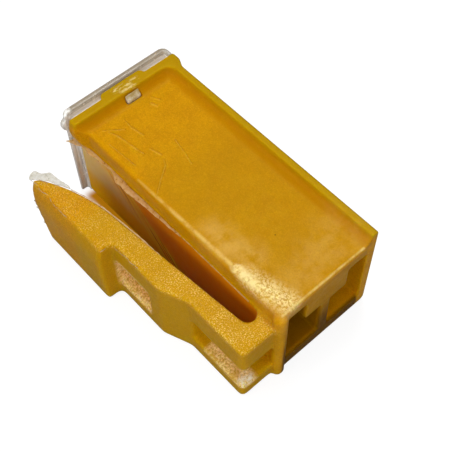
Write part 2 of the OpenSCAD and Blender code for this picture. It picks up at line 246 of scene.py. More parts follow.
def mottled(s, settings):
    """Base colour with flow marks and a fine grit that is stronger on the arm."""
    base = s.mix(s.ramp(s.noise(2.5, 3.0), 0.3, 0.7), settings.colour[:], settings.colour_deep[:])
    base = s.paint(base, s.ramp(s.noise(0.4, 3.0, 0.7), 0.4, 0.65, 0.0, 0.3), (0.42, 0.18, 0.0))
    out, _, _ = s.axes()
    gritty = s.ramp(out, x_at(-0.6), x_at(0.2), 0.5, 0.26)
    grit = s.noise(0.13, 2.0, 0.6)
    base = s.paint(base, s.times(s.ramp(grit, 0.5, 0.35), gritty), (0.36, 0.15, 0.0))
    return s.paint(base, s.times(s.ramp(grit, 0.52, 0.66), gritty), (0.85, 0.46, 0.02))


def toned_by_place(s, base, settings):
    """Deeper, more olive and darker tones by place on the housing, with painted shade under the rim, low
    on the end face and in the arm-side mouth.
    """
    _, along, up = s.axes()
    # the panel is a little darker from its terminal end to past its middle
    middle = s.times(
        s.ramp(along, y_at(17.0), y_at(26.0), 1.0, 0.0),
        s.inside(at(-1.0, -2.0, 12.6), at(13.2, 33.0, 13.3), 0.3),
    )
    base = s.paint(base, middle, (0.36, 0.18, 0.0), 0.35)
    # it looks more olive where it stands free, as on the rim, the boss and the arm
    free = s.ramp(up, 13.2 * MM, 14.0 * MM, 0.0, settings.olive_share)
    base = s.paint(base, free, (0.4, 0.25, 0.001))
    arm = s.inside(at(-9.0, -1.0, -1.0), at(-0.4, 24.0, 11.0), 1.2)
    base = s.paint(base, arm, (0.44, 0.27, 0.001), 0.45)
    # and painted shade, deeper orange, in the fillet under the rim
    fillet = s.most(
        s.inside(at(11.9, -0.5, 12.9), at(13.0, 32.2, 13.9), 0.3),
        s.inside(at(-0.8, 31.0, 12.9), at(13.0, 32.15, 13.9), 0.3),
    )
    base = s.paint(base, fillet, (0.42, 0.16, 0.0), 0.6)
    # painted shade: the end face between the mouths darkens towards the floor
    end_face_shade = s.times(
        s.inside(at(0.4, -1.0, -1.0), at(12.6, 0.3, 12.3), 0.25),
        s.ramp(up, 3.5 * MM, 9.5 * MM, 0.92, 0.25),
    )
    base = s.paint(base, end_face_shade, (0.1, 0.04, 0.0))
    # painted shade: the arm-side mouth is painted deep brown, and the gap above its terminal nearly black
    mouth = s.inside(at(0.6, 0.4, 0.6), at(6.9, 18.0, 11.8), 0.2)
    base = s.paint(base, mouth, (0.12, 0.035, 0.0), 0.6)
    gap = s.inside(at(0.6, 0.5, 8.4), at(2.7, 9.0, 11.6), 0.3)
    return s.paint(base, gap, (0.006, 0.002, 0.0), 0.97)


def slot_side_light_and_shade(s):
    """The housing's side in the arm's slot, all painted light and shade: brown painted shade at the root,
    painted light and dark lines, then a painted pale reflection.
    """
    _, along, up = s.axes()
    slant = s.math("SUBTRACT", along, s.times(up, 1.4))
    uneven_up = s.math("ADD", up, s.times(s.noise(2.0, 2.0), 2.0 * MM))
    painted_reflection = s.times(s.ramp(slant, y_at(13.5), y_at(18.5)), s.ramp(uneven_up, 4.4 * MM, 7.0 * MM))
    lines = s.noise(0.4, 2.0, 0.5, stretch=(0.1, 0.05, 1.0), turn=(math.radians(-48.6), 0.0, 0.0))
    line_band = s.times(
        s.ramp(slant, y_at(11.6), y_at(12.6)),
        s.ramp(slant, y_at(14.0), y_at(19.0), 1.0, 0.0),
    )
    # painted shade, brown at the root, lighter towards the cap end
    side = s.mix(s.ramp(slant, y_at(9.0), y_at(17.0)), (0.85, 0.24, 0.0, 1.0), (1.0, 0.42, 0.0, 1.0))
    # painted light and dark lines across a band of the side
    side = s.paint(side, s.times(line_band, s.ramp(lines, 0.45, 0.6)), (1.0, 0.62, 0.04))
    side = s.paint(side, s.times(line_band, s.ramp(lines, 0.42, 0.34)), (0.5, 0.14, 0.0))
    # painted pale reflection high on the side towards the cap end
    return s.paint(side, painted_reflection, (1.0, 0.6, 0.2), 0.9)


def panel_scratches(s):
    """Handling scratches on the panel, broken here and there."""
    lines = [s.panel_line(start, end, width) for start, end, width in PANEL_SCRATCHES]
    return s.times(s.most(*lines), s.ramp(s.noise(1.2, 2.0), 0.3, 0.6, 0.3, 1.0))


def torn_glinting_floors(s):
    """Torn floors of the core pockets, where the tool dragged, which also carry painted glints."""
    boxes = [s.inside(at(*low), at(*high), 0.25) for low, high in TORN_GLINTING_PLACES]
    return s.times(s.most(*boxes), s.ramp(s.noise(0.9, 3.0), 0.3, 0.6, 0.45, 1.0))


def sheen_streak(s):
    """Painted bright sheen beside the panel's arm-side edge, where the panel is also smoother."""
    smooth = s.times(
        s.panel_line((0.7, 7.1), (0.95, 4.2), 1.15),
        s.ramp(s.noise(0.9, 5.0, 0.75), 0.3, 0.6, 0.1, 1.0),
    )
    grainy = s.times(
        s.panel_line((0.8, 5.4), (1.9, 0.8), 2.1),
        s.ramp(s.noise(0.3, 5.0, 0.8), 0.58, 0.42, 0.1, 1.0),
    )
    return s.most(s.ramp(smooth, 0.0, 0.85, 0.0, 0.9), grainy)


def blemishes_and_sheen(s, base, fine, scratches, torn_and_glinting):
    """Painted sheen, pits, scratches, painted glints in the core pockets, one painted glint and the dark
    specks.
    """
    # painted sheen: pale patches over the panel towards its terminal end
    sheen_clouds = s.most(
        s.times(s.panel_line((1.6, 11.5), (2.4, 7.5), 3.4), 0.4),
        s.times(s.panel_line((2.0, 1.0), (11.0, 3.0), 5.0), 0.22),
    )
    sheen_clouds = s.times(sheen_clouds, s.ramp(s.noise(2.2, 3.0, 0.6), 0.3, 0.62))
    base = s.paint(base, sheen_clouds, (0.82, 0.52, 0.14))
    # pits near the terminal end, where the compound cooled first
    pitted = s.inside(at(-0.2, -1.0, 12.0), at(13.4, 9.0, 13.5), 4.0)
    pits = s.times(s.ramp(s.noise(0.2, 2.0, 0.8), 0.45, 0.36), pitted)
    base = s.paint(base, pits, (0.32, 0.11, 0.0), 0.75)
    base = s.paint(base, scratches, (0.95, 0.6, 0.08), 0.25)
    # painted glints, pale specks on the torn floors
    flake_glints = s.times(torn_and_glinting, s.ramp(s.noise(0.24, 4.0, 0.75), 0.4, 0.6, 0.15, 1.0))
    base = s.paint(base, flake_glints, (1.0, 0.7, 0.32))
    glint = s.near_segment(at(-3.9, 0.9, 2.6), at(-3.3, 0.8, 2.6), 1.1)
    base = s.paint(base, s.times(glint, s.ramp(fine, 0.35, 0.6)), (1.0, 0.92, 0.74))
    specks = s.most(*(s.near_point(at(*place), radius) for place, radius in DARK_SPECKS))
    return s.paint(base, specks, (0.04, 0.02, 0.0), 0.85)


def painted_highlights(s, base, smooth_sheen, arm_top):
    """Painted highlights: the sheen streak, the panel's open edges, the boss and sparkle on the arm's top.
    """
    # painted sheen in the streak beside the panel's arm-side edge
    base = s.paint(base, smooth_sheen, (1.0, 0.82, 0.4), 0.85)
    # painted highlight, a pale line along the panel's two open edges
    edge_highlight = s.most(
        s.near_segment(at(0.5, 0.12, 12.85), at(12.0, 0.12, 12.85), 0.26),
        s.times(s.panel_line((0.2, 22.5), (0.65, 8.0), 0.4), 0.7),
    )
    edge_highlight = s.times(edge_highlight, s.ramp(s.noise(1.0, 3.0, 0.6), 0.3, 0.6, 0.3, 1.0))
    base = s.paint(base, edge_highlight, (1.0, 0.78, 0.3), 0.6)
    # painted glints on the boss over the latch window
    boss = s.most(
        s.near_segment(at(5.6, 33.2, 14.1), at(8.8, 33.0, 14.1), 0.55),
        s.near_segment(at(6.2, 32.6, 14.1), at(8.0, 32.4, 14.1), 0.4),
    )
    boss = s.times(boss, s.ramp(s.noise(0.35, 3.0, 0.7, stretch=(0.4, 1.0, 1.0)), 0.46, 0.6))
    base = s.paint(base, boss, (1.0, 0.85, 0.4), 0.6)
    # painted sparkle in patches, stronger towards the arm's root
    sparkle = s.times(s.ramp(s.noise(0.14, 2.0, 0.7), 0.5, 0.66), arm_top)
    sparkle = s.times(sparkle, s.ramp(s.noise(2.2, 3.0, 0.6), 0.35, 0.6, 0.35, 1.0))
    _, along, _ = s.axes()
    rooted = s.ramp(along, y_at(6.0), y_at(24.0), 0.85, 0.45)
    return s.paint(base, s.times(sparkle, rooted), (1.0, 0.72, 0.24))


def yellow_plastic(settings):
    """Yellow moulding compound: fine eroded grain, handling scratches and a few dark specks, with painted
    shade, painted highlights and painted sheen.
    """
    s = Shader("yellow moulded plastic")
    fine = s.noise(0.25, 3.0, 0.65)
    scratches = panel_scratches(s)
    torn_and_glinting = torn_glinting_floors(s)
    smooth_sheen = sheen_streak(s)
    arm_top = s.inside(at(-8.2, 0.0, PART_LINE_H - 0.6), at(-0.2, 33.0, PART_LINE_H + 0.3), 0.2)
    base = toned_by_place(s, mottled(s, settings), settings)
    # painted light and shade on the housing's side in the arm's slot
    in_slot = s.inside(at(-0.25, 2.6, -1.0), at(0.12, 34.0, 10.2), 0.1)
    base = s.mix(in_slot, base, slot_side_light_and_shade(s))
    base = blemishes_and_sheen(s, base, fine, scratches, torn_and_glinting)
    base = painted_highlights(s, base, smooth_sheen, arm_top)
    # the grain is deeper on the torn floors and the arm's top, and shallow in the streak
    grain = s.math("ADD", s.times(torn_and_glinting, 2.5), s.math("ADD", s.times(arm_top, 2.0), 1.0))
    grain = s.times(grain, s.math("SUBTRACT", 1.0, s.times(smooth_sheen, 0.7)))
    normal = s.bump(s.times(fine, grain), settings.grain_depth)
    normal = s.bump(s.noise(1.6, 2.0), 0.03, normal)
    normal = s.bump(scratches, 0.11, normal)
    mean = settings.roughness
    rough = s.ramp(s.noise(0.6, 4.0, 0.7), 0.3, 0.75, mean - 0.06, mean + 0.1)
    return s.finish(
        Base_Color=base,
        Roughness=s.math("SUBTRACT", rough, s.times(smooth_sheen, 0.2)),
        Normal=normal,
        IOR=1.5,
        Specular_Tint=(1.0, 0.8, 0.12, 1.0),
        Specular_IOR_Level=0.14,
        Subsurface_Weight=settings.translucency,
        Subsurface_Radius=(2.0, 1.1, 0.06),
        Subsurface_Scale=1.8 * MM,
    )


def flash_film(settings):
    """Thin flash at the parting line: nearly colourless at the tip, tan along the housing."""
    s = Shader("thin flash film")
    cloud = s.noise(0.5, 3.0, 0.6)
    out, along, _ = s.axes()
    # on the housing's side, and a share of it on the arm up to its pad
    beside = s.most(
        s.ramp(out, x_at(-2.2), x_at(-1.4)),
        s.times(s.ramp(along, y_at(26.0), y_at(29.0), 1.0, 0.0), 0.75),
    )
    milky = s.mix(s.ramp(cloud, 0.35, 0.7), (0.66, 0.62, 0.5, 1.0), (0.8, 0.78, 0.72, 1.0))
    tan = s.mix(s.ramp(cloud, 0.35, 0.7), (0.72, 0.42, 0.12, 1.0), (0.86, 0.62, 0.3, 1.0))
    return s.finish(
        Base_Color=s.mix(beside, milky, tan),
        Roughness=s.ramp(cloud, 0.3, 0.7, 0.25, 0.5),
        Normal=s.bump(cloud, 0.06),
        Transmission_Weight=0.4,
        IOR=1.3,
        Alpha=settings.flash_cover,
    )


def clear_plastic(settings):
    """Clear cap with a faint haze and flow marks."""
    s = Shader("clear window plastic")
    flow = s.noise(2.5, 2.0, 0.5, stretch=(1.0, 1.0, 0.25))
    haze = s.noise(0.8, 3.0, 0.6)
    out, along, up = s.axes()
    # painted reflection: the low step behind the rim is painted white, and the skirt's side is streaked
    # white
    step = s.inside(at(-0.5, 33.1, 12.4), at(14.2, 34.4, 13.7), 0.12)
    streaks = s.ramp(s.noise(0.5, 3.0, 0.6, stretch=(1.0, 1.0, 0.08)), 0.35, 0.65, 0.3, 1.0)
    side = s.times(s.ramp(out, x_at(0.3), x_at(0.5), 1.0, 0.0), streaks)
    reflection_and_streaks = s.most(step, side)
    barb = s.inside(at(5.8, 31.0, 12.6), at(8.8, 32.6, 14.2), 0.12)
    # the plate's edge looks brownish, its middle is a clear window
    edge = s.times(s.ramp(along, y_at(34.1), y_at(34.3)), s.ramp(up, 12.2 * MM, 13.2 * MM, 0.15, 1.0))
    window = s.inside(at(0.7, 33.0, 0.9), at(13.3, 37.0, 12.6), 0.4)
    tint = s.mix(s.ramp(haze, 0.3, 0.7), settings.tint[:], settings.tint_deep[:])
    tint = s.mix(edge, tint, settings.plate_tint[:])
    # painted reflection, white on the step, and white streaks on the skirt's side
    tint = s.paint(tint, reflection_and_streaks, (1.0, 0.98, 0.93))
    # the barb lets some of the yellow through
    barb_tint = s.mix(s.ramp(haze, 0.4, 0.62), (0.5, 0.36, 0.13, 1.0), (0.72, 0.62, 0.42, 1.0))
    tint = s.mix(barb, tint, barb_tint)
    clear = s.times(s.ramp(reflection_and_streaks, 0.0, 1.0, settings.clearness, 0.1), s.ramp(barb, 0.0, 1.0, 1.0, 0.4))
    return s.finish(
        Base_Color=tint,
        Roughness=s.ramp(haze, 0.3, 0.75, settings.roughness, settings.roughness + 0.12),
        Normal=s.bump(flow, 0.12),
        Transmission_Weight=s.ramp(window, 0.0, 1.0, clear, 0.9),
        IOR=1.49,
    )


def stamped_alloy(settings):
    """Copper alloy strip with rolling marks and light tarnish."""
    s = Shader("stamped copper alloy")
    rolled = s.noise(0.35, 3.0, 0.6, stretch=(1.0, 0.12, 1.0))
    tarnish = s.noise(2.2, 4.0, 0.6)
    return s.finish(
        Base_Color=s.mix(s.ramp(tarnish, 0.4, 0.75), settings.alloy[:], settings.tarnish[:]),
        Metallic=1.0,
        Roughness=s.ramp(rolled, 0.25, 0.75, 0.28, 0.48),
        Normal=s.bump(rolled, 0.01),
    )


def dull_tin(settings):
    """Cast tin pellet with a grey skin."""
    s = Shader("dull tin")
    skin = s.noise(0.5, 4.0, 0.65)
    return s.finish(
        Base_Color=s.mix(s.ramp(skin, 0.35, 0.7), settings.tin[:], (0.38, 0.38, 0.36, 1.0)),
        Metallic=1.0,
        Roughness=s.ramp(skin, 0.3, 0.7, 0.35, 0.6),
        Normal=s.bump(skin, 0.03),
    )


# Mesh helpers


def new_object(name, mesh):
    piece = bpy.data.objects.new(name, mesh)
    bpy.context.scene.collection.objects.link(piece)
    return piece


def discard(piece):
    mesh = piece.data
    bpy.data.objects.remove(piece)
    bpy.data.meshes.remove(mesh)


def baked(piece):
    """Turns a piece's live modifiers into a plain mesh."""
    graph = bpy.context.evaluated_depsgraph_get()
    mesh = bpy.data.meshes.new_from_object(
        piece.evaluated_get(graph), preserve_all_data_layers=True, depsgraph=graph
    )
    old = piece.data
    piece.modifiers.clear()
    piece.data = mesh
    bpy.data.meshes.remove(old)


def merged_copy(node, name):
    """Copy of a CAD node's mesh in millimetres, with its loose triangles joined."""
    piece = new_object(name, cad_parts[node].data.copy())
    piece.data.materials.clear()
    piece.data.transform(Matrix.Scale(1.0 / MM, 4))
    work = bmesh.new()
    work.from_mesh(piece.data)
    bmesh.ops.remove_doubles(work, verts=work.verts, dist=0.001)
    work.to_mesh(piece.data)
    work.free()
    return piece


def combine(piece, other, operation):
    """Boolean of two pieces, kept in the first."""
    cut = piece.modifiers.new("cut", "BOOLEAN")
    cut.operation = operation
    cut.solver = "EXACT"
    cut.object = other
    baked(piece)


def prism_at(source, level, low, high):
    """Upright prism with the outline that the source has at a level, in millimetres."""
    work = bmesh.new()
    work.from_mesh(source.data)
    parts = work.verts[:] + work.edges[:] + work.faces[:]
    cut = bmesh.ops.bisect_plane(
        work, geom=parts, dist=0.0001, plane_co=(0, 0, level), plane_no=(0, 0, 1),
        clear_inner=True, clear_outer=True,
    )["geom_cut"]
    edges = [part for part in cut if isinstance(part, bmesh.types.BMEdge)]
    bmesh.ops.triangle_fill(work, use_beauty=True, edges=edges)
    bmesh.ops.translate(work, verts=work.verts, vec=(0, 0, low - level))
    raised = bmesh.ops.extrude_face_region(work, geom=work.faces[:], use_keep_orig=True)["geom"]
    corners = [part for part in raised if isinstance(part, bmesh.types.BMVert)]
    bmesh.ops.translate(work, verts=corners, vec=(0, 0, high - low))
    bmesh.ops.recalc_face_normals(work, faces=work.faces)
    mesh = bpy.data.meshes.new("prism")
    work.to_mesh(mesh)
    work.free()
    return new_object("prism", mesh)


def slab(low, high):
    """Box from corner to corner, in millimetres."""
    work = bmesh.new()
    bmesh.ops.create_cube(work, size=1.0)
    for vert in work.verts:
        vert.co = [a if c < 0 else b for a, b, c in zip(low, high, vert.co)]
    mesh = bpy.data.meshes.new("slab")
    work.to_mesh(mesh)
    work.free()
    return new_object("slab", mesh)


def points_of(mesh):
    co = np.empty(len(mesh.vertices) * 3)
    mesh.vertices.foreach_get("co", co)
    return co.reshape(-1, 3)


def set_points(mesh, co):
    mesh.vertices.foreach_set("co", co.ravel())
    mesh.update()


def relax(mesh, steps, share=1.0):
    """Rounds edges by moving each point by its share towards its neighbours' mean."""
    co = points_of(mesh)
    edges = np.empty(len(mesh.edges) * 2, np.int64)
    mesh.edges.foreach_get("vertices", edges)
    a, b = edges.reshape(-1, 2).T
    count = np.bincount(a, minlength=len(co)) + np.bincount(b, minlength=len(co))
    for _ in range(steps):
        total = [np.bincount(a, co[b, k], len(co)) + np.bincount(b, co[a, k], len(co)) for k in range(3)]
        co += 0.5 * share * (np.stack(total, axis=1) / count[:, None] - co)
    set_points(mesh, co)


def waves(co, size, seed):
    """Smooth random shift of about unit size, the same for the same seed."""
    draw = np.random.default_rng(seed)
    shift = np.zeros_like(co)
    for _ in range(24):
        turn = draw.normal(size=3) * 2.0 / size
        shift += np.sin(co @ turn + draw.uniform(0, FULL_TURN))[:, None] * draw.normal(size=3) * 0.2
    return shift


def remeshed(piece, voxel):
    grid = piece.modifiers.new("remesh", "REMESH")
    grid.mode = "VOXEL"
    grid.voxel_size = voxel
    baked(piece)


def finished(piece, faces):
    """Thins a piece to about this many triangles, smooths its normals and scales it to metres."""
    triangles = 2 * len(piece.data.polygons)
    if triangles > faces:
        thin = piece.modifiers.new("thin", "DECIMATE")
        thin.ratio = faces / triangles
        baked(piece)
    piece.data.transform(Matrix.Scale(MM, 4))
    piece.data.shade_smooth()
    weighted = piece.modifiers.new("normals", "WEIGHTED_NORMAL")
    weighted.weight = 60
    baked(piece)


def without_flash(piece):
    """Cuts the thin flash off at the parting line and returns it as a piece of its own."""
    # the cut stands a hair clear of the flash's two faces
    hair = 0.005
    bottom = PART_LINE_H - FLASH_T - hair
    flash = new_object("parting_flash", piece.data.copy())
    core = prism_at(piece, bottom - 0.05, bottom - 0.1, PART_LINE_H + 0.1)
    # a thin slab over the half of the part that has flash
    around = slab((-20, -2, bottom), (20, 20, PART_LINE_H + hair))
    combine(around, core, "DIFFERENCE")
    combine(flash, around, "INTERSECT")
    combine(piece, around, "DIFFERENCE")
    discard(core)
    discard(around)
    # the boolean leaves slivers on the plain side, where there is no flash
    work = bmesh.new()
    work.from_mesh(flash.data)
    slivers = [vert for vert in work.verts if vert.co.x > ORIGIN[0] + 0.6]
    bmesh.ops.delete(work, geom=slivers, context="VERTS")
    work.to_mesh(flash.data)
    work.free()
    return flash


def pad_edge(y):
    """X of the arm's slot side at the parting line, from the housing's corner in millimetres."""
    lean = math.atan((ARM_START[0] - PAD_START[0]) / (PAD_START[1] - ARM_START[1]))
    if y < PAD_START[1]:
        return ARM_START[0] - (y - ARM_START[1]) * math.tan(lean)
    across = y - PAD_START[1] + PAD_R * math.sin(lean)
    return PAD_START[0] - PAD_R * math.cos(lean) + math.sqrt(max(PAD_R**2 - across**2, 0.0))


# Geometry trees


def burr_tree(film):
    """Follows a path with a thin uneven burr and crumbs of flash."""
    tree = bpy.data.node_groups.new("parting burr", "GeometryNodeTree")
    ports = tree.interface
    ports.new_socket("Path", in_out="INPUT", socket_type="NodeSocketGeometry")
    lengths = {"Radius": 0.00007, "Step": 0.0002, "Wander": 0.00006, "Crumb Size": 0.00012}
    for name, value in lengths.items():
        socket = ports.new_socket(name, in_out="INPUT", socket_type="NodeSocketFloat")
        socket.default_value = value
        socket.subtype = "DISTANCE"
    socket = ports.new_socket("Crumb Share", in_out="INPUT", socket_type="NodeSocketFloat")
    socket.default_value = 0.2
    socket = ports.new_socket("Seed", in_out="INPUT", socket_type="NodeSocketInt")
    socket.default_value = 5
    ports.new_socket("Burr", in_out="OUTPUT", socket_type="NodeSocketGeometry")

    def add(kind, **settings):
        node = tree.nodes.new(kind)
        for key, value in settings.items():
            setattr(node, key, value)
        return node

    def link(a, b):
        tree.links.new(a, b)

    def put(node, **values):
        for key, value in values.items():
            node.inputs[key.replace("_", " ")].default_value = value

    entry = add("NodeGroupInput").outputs
    curve = add("GeometryNodeMeshToCurve")
    link(entry["Path"], curve.inputs["Mesh"])
    even = add("GeometryNodeResampleCurve", mode="LENGTH")
    link(curve.outputs[0], even.inputs["Curve"])
    link(entry["Step"], even.inputs["Length"])
    # uneven thickness and a slight wander
    uneven = add("ShaderNodeTexNoise")
    put(uneven, Scale=1400.0, Detail=3.0)
    radius = add("ShaderNodeMapRange")
    link(uneven.outputs["Fac"], radius.inputs["Value"])
    put(radius, From_Min=0.3, From_Max=0.75, To_Min=0.3, To_Max=1.8)
    shift = add("ShaderNodeVectorMath", operation="SUBTRACT")
    link(uneven.outputs["Color"], shift.inputs[0])
    shift.inputs[1].default_value = (0.5, 0.5, 0.5)
    wander = add("ShaderNodeVectorMath", operation="SCALE")
    link(shift.outputs[0], wander.inputs[0])
    link(entry["Wander"], wander.inputs["Scale"])
    moved = add("GeometryNodeSetPosition")
    link(even.outputs[0], moved.inputs["Geometry"])
    link(wander.outputs[0], moved.inputs["Offset"])
    ring = add("GeometryNodeCurvePrimitiveCircle")
    put(ring, Resolution=6)
    link(entry["Radius"], ring.inputs["Radius"])
    tube = add("GeometryNodeCurveToMesh")
    put(tube, Fill_Caps=True)
    link(moved.outputs[0], tube.inputs["Curve"])
    link(ring.outputs["Curve"], tube.inputs["Profile Curve"])
    link(radius.outputs[0], tube.inputs["Scale"])
    # crumbs on some of the path's points
    pick = add("FunctionNodeRandomValue", data_type="BOOLEAN")
    link(entry["Crumb Share"], pick.inputs["Probability"])
    link(entry["Seed"], pick.inputs["Seed"])
    crumb = add("GeometryNodeMeshIcoSphere")
    put(crumb, Subdivisions=2)
    link(entry["Crumb Size"], crumb.inputs["Radius"])
    turn = add("FunctionNodeRandomValue", data_type="FLOAT_VECTOR")
    put(turn, Max=(FULL_TURN, FULL_TURN, FULL_TURN))
    link(entry["Seed"], turn.inputs["Seed"])
    grow = add("FunctionNodeRandomValue", data_type="FLOAT_VECTOR")
    put(grow, Min=(0.4, 0.3, 0.2), Max=(1.4, 1.0, 0.6))
    link(entry["Seed"], grow.inputs["Seed"])
    place = add("GeometryNodeInstanceOnPoints")
    link(moved.outputs[0], place.inputs["Points"])
    link(pick.outputs["Value"], place.inputs["Selection"])
    link(crumb.outputs["Mesh"], place.inputs["Instance"])
    link(turn.outputs["Value"], place.inputs["Rotation"])
    link(grow.outputs["Value"], place.inputs["Scale"])
    both = add("GeometryNodeJoinGeometry")
    link(place.outputs[0], both.inputs[0])
    link(tube.outputs[0], both.inputs[0])
    real = add("GeometryNodeRealizeInstances")
    link(both.outputs[0], real.inputs[0])
    coat = add("GeometryNodeSetMaterial")
    put(coat, Material=film)
    link(real.outputs[0], coat.inputs["Geometry"])
    link(coat.outputs[0], add("NodeGroupOutput").inputs[0])
    return tree


def burr_along(name, points, tree, **sizes):
    """One burr along a path of frame points."""
    mesh = bpy.data.meshes.new(name)
    mesh.from_pydata([p[:] for p in points], [(i, i + 1) for i in range(len(points) - 1)], [])
    piece = new_object(name, mesh)
    modifier = piece.modifiers.new("burr", "NODES")
    modifier.node_group = tree
    sockets = {s.name: s.identifier for s in tree.interface.items_tree if s.in_out == "INPUT"}
    for key, value in sizes.items():
        modifier[sockets[key.replace("_", " ")]] = value
    baked(piece)
    return piece


# Settings


class HousingSettings(bpy.types.PropertyGroup):
    colour: bpy.props.FloatVectorProperty(
        name="Colour", description="Yellow of the moulding compound", subtype="COLOR", size=4,
        default=(0.62, 0.29, 0.0002, 1.0),
    )
    colour_deep: bpy.props.FloatVectorProperty(
        name="Deep colour", description="Slightly deeper yellow of the flow marks", subtype="COLOR",
        size=4, default=(0.56, 0.25, 0.0001, 1.0),
    )
    roughness: bpy.props.FloatProperty(
        name="Roughness", description="Mean roughness of the surface", default=0.38, min=0.1, max=0.8
    )
    translucency: bpy.props.FloatProperty(
        name="Translucency", description="Share of light that goes through the compound",
        default=0.45, min=0.0, max=1.0,
    )
    olive_share: bpy.props.FloatProperty(
        name="Olive share", description="Strength of the olive tint on the rim",
        default=0.75, min=0.0, max=1.0,
    )
    grain_depth: bpy.props.FloatProperty(
        name="Grain depth", description="Depth of the eroded grain in millimetres",
        default=0.009, min=0.0, max=0.1,
    )
    softness: bpy.props.IntProperty(
        name="Edge softness", description="Steps of rounding on the moulded edges",
        default=8, min=0, max=40,
    )
    arm_softness: bpy.props.IntProperty(
        name="Arm softness", description="Further steps of rounding on the arm's edges",
        default=26, min=0, max=60,
    )
    voxel: bpy.props.FloatProperty(
        name="Detail size", description="Size of the remesh in millimetres",
        default=0.11, min=0.06, max=0.4,
    )
    flash_cover: bpy.props.FloatProperty(
        name="Flash cover", description="How opaque the thin flash is", default=0.75, min=0.0, max=1.0
    )


class CapSettings(bpy.types.PropertyGroup):
    tint: bpy.props.FloatVectorProperty(
        name="Tint", description="Tint of the clear plastic", subtype="COLOR", size=4,
        default=(0.84, 0.79, 0.7, 1.0),
    )
    tint_deep: bpy.props.FloatVectorProperty(
        name="Deep tint", description="Tint of the flow marks", subtype="COLOR", size=4,
        default=(0.74, 0.68, 0.57, 1.0),
    )
    plate_tint: bpy.props.FloatVectorProperty(
        name="Plate tint", description="Tint of the plate outside the housing", subtype="COLOR", size=4,
        default=(0.56, 0.46, 0.33, 1.0),
    )
    clearness: bpy.props.FloatProperty(
        name="Clearness", description="Share of light that passes", default=0.45, min=0.0, max=1.0
    )
    roughness: bpy.props.FloatProperty(
        name="Roughness", description="Haze of the surface", default=0.18, min=0.0, max=0.6
    )


class ElementSettings(bpy.types.PropertyGroup):
    alloy: bpy.props.FloatVectorProperty(
        name="Alloy", description="Colour of the copper alloy strip", subtype="COLOR", size=4,
        default=(0.72, 0.5, 0.34, 1.0),
    )
    tarnish: bpy.props.FloatVectorProperty(
        name="Tarnish", description="Colour of the tarnish", subtype="COLOR", size=4,
        default=(0.4, 0.24, 0.14, 1.0),
    )
    tin: bpy.props.FloatVectorProperty(
        name="Tin", description="Colour of the tin pellet", subtype="COLOR", size=4,
        default=(0.66, 0.66, 0.64, 1.0),
    )


class StudioSettings(bpy.types.PropertyGroup):
    key_power: bpy.props.FloatProperty(
        name="Key power", description="Power of the key soft box", default=0.34, min=0.0, unit="POWER"
    )
    lamp_power: bpy.props.FloatProperty(
        name="Lamp power", description="Power of the overhead soft box",
        default=0.42, min=0.0, unit="POWER",
    )
    fill_power: bpy.props.FloatProperty(
        name="Fill power", description="Power of the soft box on the arm side",
        default=0.31, min=0.0, unit="POWER",
    )
    front_power: bpy.props.FloatProperty(
        name="Front power", description="Power of the low soft box at the terminals",
        default=0.4, min=0.0, unit="POWER",
    )
    world_level: bpy.props.FloatProperty(
        name="World level", description="Light from all around", default=0.15, min=0.0, max=2.0
    )
    floor_colour: bpy.props.FloatVectorProperty(
        name="Floor colour", description="Pale floor", subtype="COLOR", size=4,
        default=(0.22, 0.22, 0.22, 1.0),
    )
    azimuth: bpy.props.FloatProperty(
        name="Azimuth", description="Camera's turn about Z", subtype="ANGLE",
        default=math.radians(-40.994),
    )
    elevation: bpy.props.FloatProperty(
        name="Elevation", description="Camera's height angle", subtype="ANGLE",
        default=math.radians(57.235),
    )
    roll: bpy.props.FloatProperty(
        name="Roll", description="Camera's roll", subtype="ANGLE", default=math.radians(-1.202)
    )
    place: bpy.props.FloatVectorProperty(
        name="Camera place", description="Where the camera stands", subtype="TRANSLATION",
        default=(-0.032692, -0.043363, 0.090773),
    )
    lens: bpy.props.FloatProperty(
        name="Lens", description="Focal length in millimetres", default=70.68, min=10.0, max=300.0
    )


# Operators


class FUSE_OT_housing(bpy.types.Operator):
    """Moulded housing with its lock arm, edges rounded as the mould leaves them"""

    bl_idname = "fuse.housing"
    bl_label = "Build housing"

    def execute(self, context):
        settings = context.scene.fuse_housing
        piece = merged_copy("housing", "moulded_housing")
        flash = without_flash(piece)
        remeshed(piece, settings.voxel)
        relax(piece.data, settings.softness)
        # the arm's edges are rounder than the block's, except at the pad's tip
        out, along, up = (points_of(piece.data) - ORIGIN).T
        round_arm = np.clip((-0.4 - out) / 0.6, 0, 1) * np.clip((33.0 - along) / 1.5, 0, 1)
        relax(piece.data, settings.arm_softness, round_arm[:, None])
        finished(piece, HOUSING_FACES)
        piece.data.materials.append(yellow_plastic(settings))
        # a wavy edge, calmer beside the housing than at the pad's tip
        remeshed(flash, FLASH_VOXEL)
        co = points_of(flash.data)
        calm = np.where(co[:, :1] > ORIGIN[0] - 1.6, 0.45, 1.0)
        long_waves = waves(co, 1.2, 4) * (0.12, 0.12, 0.02)
        short_waves = waves(co, 0.4, 9) * (0.05, 0.05, 0.01)
        co += calm * (long_waves + short_waves)
        set_points(flash.data, co)
        relax(flash.data, 2)
        finished(flash, FLASH_FACES)
        flash.data.materials.append(flash_film(settings))
        for part in (piece, flash):
            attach(part, "root")
        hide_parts("housing")
        return {"FINISHED"}


